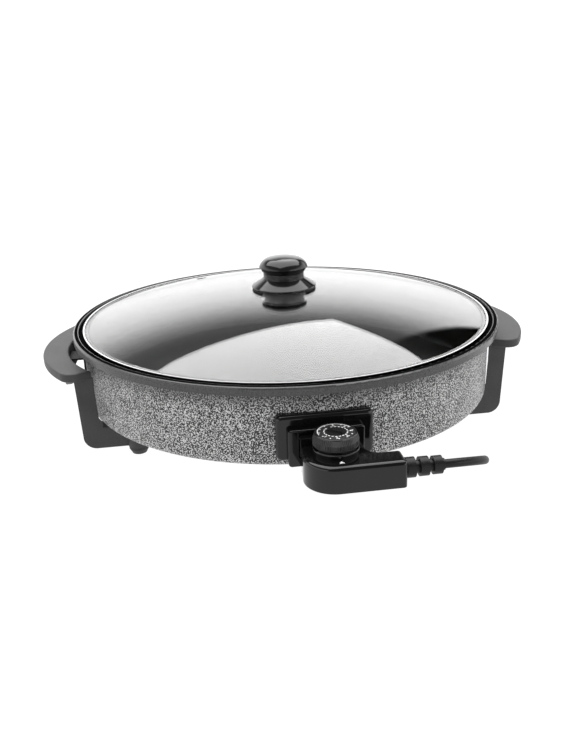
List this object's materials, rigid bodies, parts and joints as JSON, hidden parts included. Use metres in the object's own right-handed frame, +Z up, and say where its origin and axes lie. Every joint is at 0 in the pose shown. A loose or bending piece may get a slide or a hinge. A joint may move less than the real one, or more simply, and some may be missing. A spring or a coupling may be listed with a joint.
{
  "type": "electric skillet",
  "caption": "Round electric skillet with hammered outer wall, two side grips on legs, a domed glass lid with knob, and a plug-in temperature control with its mains cord.",
  "frame": {"origin": "on the table at the pan's vertical axis, midway between the feet", "axes": "+Z up, +X towards the right-hand grip, -Y towards the socket and the control"},
  "size_m": [0.4774, 0.58, 0.1633],
  "materials": {
    "hammered_enamel": "cast aluminium with a hammered two-tone grey enamel",
    "matte_black": "matt dark grey heat-resistant moulding",
    "gloss_black": "glossy black moulding",
    "lid_glass": "clear toughened glass",
    "steel": "plain stainless steel",
    "strap_black": "black painted steel strap",
    "element_steel": "heat-tinted steel sheath",
    "brass": "plain brass strip",
    "pin_metal": "nickel-plated contact metal",
    "ceramic": "unglazed steatite",
    "soft_rubber": "black silicone rubber",
    "cord_rubber": "satin black cord covering",
    "dial_print": "black scale ring with white print"
  },
  "bodies": {
    "root": {"pan_vessel": "hammered_enamel", "heating_element": "element_steel", "terminal_straps": "brass", "base_shield": "steel", "shield_screws": "steel", "handle_grip_left": "matte_black", "handle_grip_right": "matte_black", "handle_bracket_left": "strap_black", "handle_bracket_right": "strap_black", "bracket_screws": "steel", "leg_front_left": "matte_black", "leg_front_right": "matte_black", "leg_rear_left": "matte_black", "leg_rear_right": "matte_black", "grip_screws": "steel", "foot_front_left": "soft_rubber", "foot_front_right": "soft_rubber", "foot_rear_left": "soft_rubber", "foot_rear_right": "soft_rubber", "foot_screws": "steel", "socket_housing": "gloss_black", "socket_screws": "steel", "terminal_block": "ceramic", "contact_pins": "pin_metal", "earth_contact": "brass", "cord_tube": "cord_rubber", "cord_coil": "cord_rubber", "mains_plug": "cord_rubber", "plug_pins": "pin_metal", "plug_earth_contacts": "pin_metal"},
    "lid": {"lid_glass": "lid_glass", "lid_band": "steel", "vent_eyelet": "steel", "knob_gasket": "soft_rubber", "knob_skirt": "gloss_black", "knob_cap": "gloss_black", "base_gasket": "soft_rubber", "knob_base": "gloss_black", "knob_screw": "steel"},
    "control": {"control_lower_shell": "gloss_black", "control_upper_shell": "gloss_black", "shell_screws": "steel", "contact_sleeves": "brass", "probe_rod": "pin_metal", "switch_block": "matte_black", "earth_strip": "brass", "strain_relief": "cord_rubber"},
    "dial": {"dial_knob": "gloss_black", "dial_face": "dial_print", "dial_shaft": "steel"}
  },
  "joints": [
    {"name": "lid_lift", "type": "slide", "parent": "root", "child": "lid", "axis": [0, 0, 1], "range_m": [0, 0.06]},
    {"name": "control_pull", "type": "slide", "parent": "root", "child": "control", "axis": [0, -1, 0], "range_m": [0, 0.045]},
    {"name": "dial_turn", "type": "hinge", "parent": "control", "child": "dial", "pos_m": [0.003, -0.2302, 0.067], "axis": [0, 0, 1], "range_deg": [-270, 0]}
  ]
}
